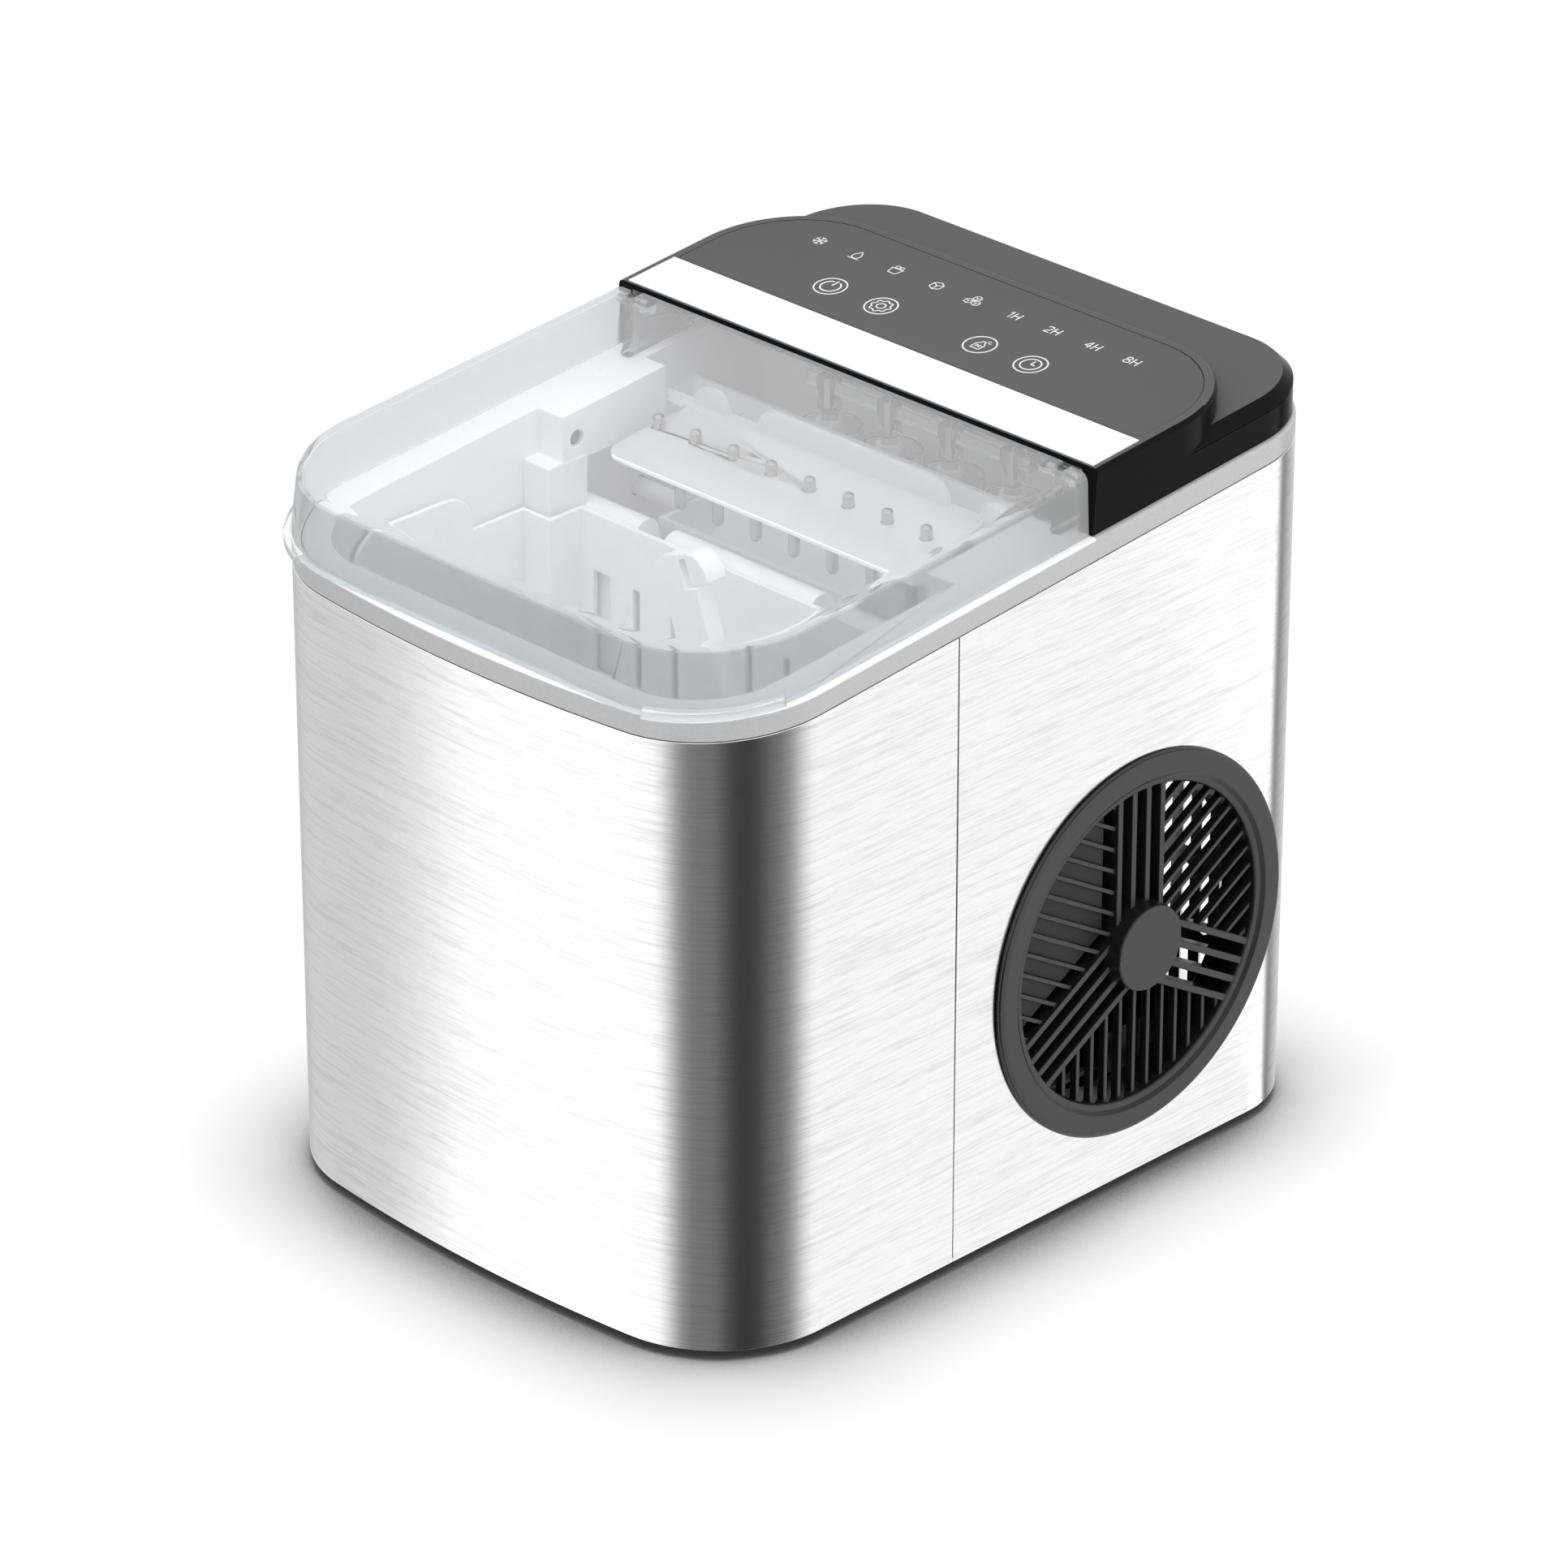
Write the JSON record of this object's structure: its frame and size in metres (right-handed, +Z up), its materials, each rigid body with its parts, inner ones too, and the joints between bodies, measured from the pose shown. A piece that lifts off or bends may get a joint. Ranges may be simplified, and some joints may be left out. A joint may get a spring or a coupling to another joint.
{
  "type": "countertop ice maker",
  "caption": "Steel-clad countertop ice maker with a clear hinged lid, sloped control top, ice basket and scoop, tipping water tray, and a round side fan grille.",
  "frame": {"origin": "centre of the outer box at the surface it stands on", "axes": "+Z up, the front faces -Y, the fan grille is on +X"},
  "size_m": [0.23, 0.292, 0.2755],
  "materials": {
    "rubber": "matt",
    "body_black": "satin moulded",
    "steel_shell": "brushed along the faces",
    "band_grey": "satin",
    "white_liner": "moulded",
    "overlay_grey": "matt film",
    "strip_white": "gloss",
    "clear_lid": "clear moulded plastic",
    "pin_steel": "polished",
    "board_green": "coated board",
    "copper_pipe": "drawn pipe",
    "fin_aluminium": "fin stock",
    "painted_black": "black enamel",
    "motor_grey": "matt"
  },
  "bodies": {
    "housing": {"foot_front_left": "rubber", "foot_front_right": "rubber", "foot_rear_left": "rubber", "foot_rear_right": "rubber", "base_pan": "body_black", "front_wrap": "steel_shell", "rear_shell": "steel_shell", "top_band": "band_grey", "inner_tub": "white_liner", "console_body": "body_black", "control_overlay": "overlay_grey", "panel_strip": "strip_white", "control_board": "board_green", "hinge_arm_left": "body_black", "hinge_pin_left": "pin_steel", "hinge_arm_right": "body_black", "hinge_pin_right": "pin_steel", "evaporator": "pin_steel", "evaporator_cover": "white_liner", "seal_ring_1": "white_liner", "seal_ring_2": "white_liner", "seal_ring_3": "white_liner", "seal_ring_4": "white_liner", "water_manifold": "clear_lid", "tray_motor": "motor_grey", "shovel_rail_left": "white_liner", "shovel_rail_right": "white_liner", "ir_emitter": "body_black", "ir_receiver": "body_black", "side_grille": "body_black", "fan_shroud": "body_black", "fan_motor": "motor_grey", "condenser": "fin_aluminium", "compressor": "painted_black", "compressor_bracket": "painted_black", "discharge_tube": "copper_pipe", "suction_tube": "copper_pipe", "drier": "copper_pipe", "capillary_tube": "copper_pipe", "water_pump": "body_black", "pump_hose": "clear_lid", "power_board": "board_green", "cord_gland": "rubber"},
    "lid": {"lid": "clear_lid"},
    "fan": {"fan_blade": "body_black"},
    "tray": {"water_tray": "white_liner"},
    "shovel": {"ice_shovel": "white_liner"},
    "basket": {"ice_basket": "white_liner"},
    "scoop": {"ice_scoop": "white_liner"},
    "drain_cap": {"drain_cap": "body_black"}
  },
  "joints": [
    {"name": "lid_hinge", "type": "hinge", "parent": "housing", "child": "lid", "pos_m": [-0.003, 0.0273, 0.26418], "axis": [-1, 0, 0], "range_deg": [0, 95]},
    {"name": "fan_spin", "type": "hinge", "parent": "housing", "child": "fan", "pos_m": [0.05, 0.053, 0.09], "axis": [1, 0, 0], "continuous": true},
    {"name": "tray_tip", "type": "hinge", "parent": "housing", "child": "tray", "pos_m": [-0.003, 0.0245, 0.198], "axis": [-1, 0, 0], "range_deg": [0, 60]},
    {"name": "shovel_slide", "type": "slide", "parent": "housing", "child": "shovel", "axis": [0, -1, 0], "range_m": [0, 0.02]},
    {"name": "basket_lift", "type": "slide", "parent": "housing", "child": "basket", "axis": [0, 0, 1], "range_m": [0, 0.01]},
    {"name": "scoop_lift", "type": "slide", "parent": "basket", "child": "scoop", "axis": [0, 0, 1], "range_m": [0, 0.008]},
    {"name": "drain_cap_turn", "type": "hinge", "parent": "housing", "child": "drain_cap", "pos_m": [-0.108, -0.0925, 0.058], "axis": [-1, 0, 0], "range_deg": [0, 180]}
  ],
  "couplings": [
    {"joint": "shovel_slide", "follows": "tray_tip", "m_per_rad": 0.019}
  ]
}
